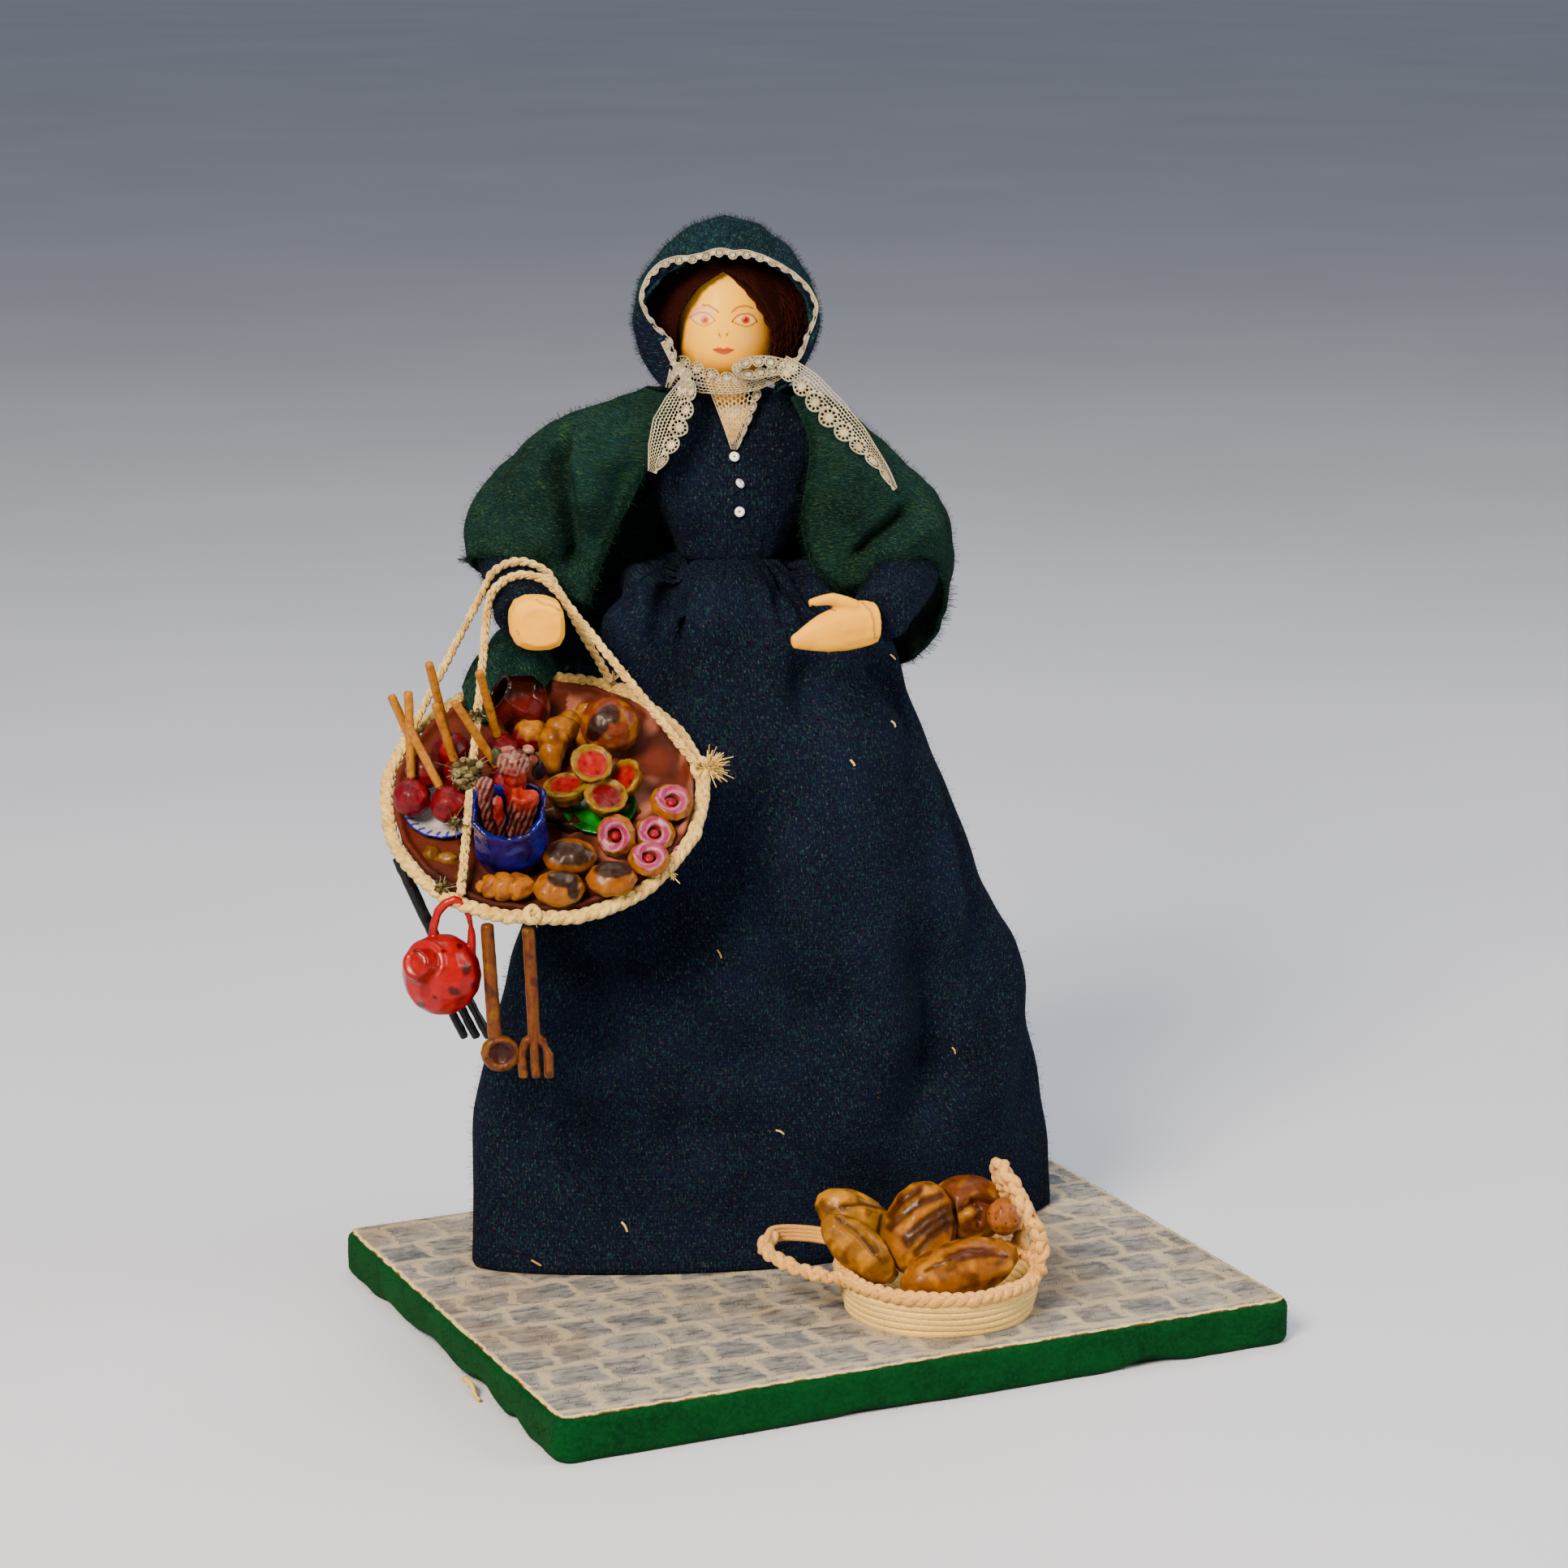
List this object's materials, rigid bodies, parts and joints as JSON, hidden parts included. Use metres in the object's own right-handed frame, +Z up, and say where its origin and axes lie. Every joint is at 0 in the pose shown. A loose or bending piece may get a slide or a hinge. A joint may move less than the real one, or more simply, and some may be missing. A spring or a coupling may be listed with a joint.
{
  "type": "pedlar costume doll",
  "caption": "Wooden pedlar costume doll in tweed dress, shawl and lace-tied bonnet, with a slung tray of sweets and a bread basket on a cobbled board.",
  "frame": {"origin": "centre of the board's flat underside, which is the plane the part stands on", "axes": "+Z up; +X along the board's long front edge, to the viewer's right; -Y towards the board's front edge"},
  "size_m": [0.2307, 0.1712, 0.301],
  "materials": {
    "felt": "matte wool felt",
    "cobble_paper": "printed card, satin",
    "dress_tweed": "brushed navy tweed",
    "shawl_tweed": "brushed green tweed",
    "lace": "cream cotton lace",
    "painted_wood": "painted and varnished, satin",
    "hair_wool": "combed dark red-brown wool",
    "jute": "twisted jute cord",
    "tray_clay": "red-brown, satin",
    "china": "white glaze with blue",
    "green_glaze": "green glaze",
    "blue_glaze": "deep blue glaze",
    "sugar": "painted and varnished clay",
    "toffee": "dark red varnish",
    "pastry": "painted and varnished clay",
    "crust": "painted and varnished clay",
    "brown_glaze": "red-brown glaze",
    "carved_wood": "varnished, satin",
    "black_iron": "black paint, satin",
    "red_enamel": "red gloss, chipped",
    "cane": "pale coiled straw"
  },
  "bodies": {
    "root": {"felt_board": "felt", "cobble_card": "cobble_paper", "skirt": "dress_tweed", "bodice": "dress_tweed", "chemisette_lace": "lace", "sleeve_right": "dress_tweed", "sleeve_left": "dress_tweed", "hand_right": "painted_wood", "hand_left": "painted_wood", "head": "painted_wood", "hair": "hair_wool", "bonnet": "dress_tweed", "shawl": "shawl_tweed", "bonnet_lace": "lace", "lace_chin_band": "lace", "lace_tail_right": "lace", "lace_tail_left": "lace", "sling_front": "jute", "sling_back": "jute", "tray": "tray_clay", "tray_rim_cord": "jute", "apple_plate": "china", "tart_plate": "green_glaze", "jug": "blue_glaze", "jug_sweets": "sugar", "toffee_apple_1": "toffee", "toffee_apple_2": "toffee", "toffee_apple_3": "toffee", "toffee_apple_4": "toffee", "toffee_apple_5": "toffee", "toffee_apple_6": "toffee", "toffee_apple_7": "toffee", "toffee_apple_8": "toffee", "jam_tart_1": "pastry", "jam_tart_2": "pastry", "jam_tart_3": "pastry", "jam_tart_4": "pastry", "iced_ring_1": "pastry", "iced_ring_2": "pastry", "iced_ring_3": "pastry", "iced_ring_4": "pastry", "chocolate_bun_1": "pastry", "chocolate_bun_2": "pastry", "chocolate_bun_3": "pastry", "pastry_roll": "pastry", "glazed_bun": "crust", "crescent_rolls": "pastry", "brown_pot": "brown_glaze", "wooden_spoon": "carved_wood", "wooden_fork": "carved_wood", "iron_fork": "black_iron", "red_kettle": "red_enamel", "basket": "cane", "loaf_slashed": "crust", "loaf_front": "crust", "loaf_left_low": "crust", "loaf_left_high": "crust", "loaf_back": "crust", "seeded_bun": "crust"}
  },
  "joints": []
}
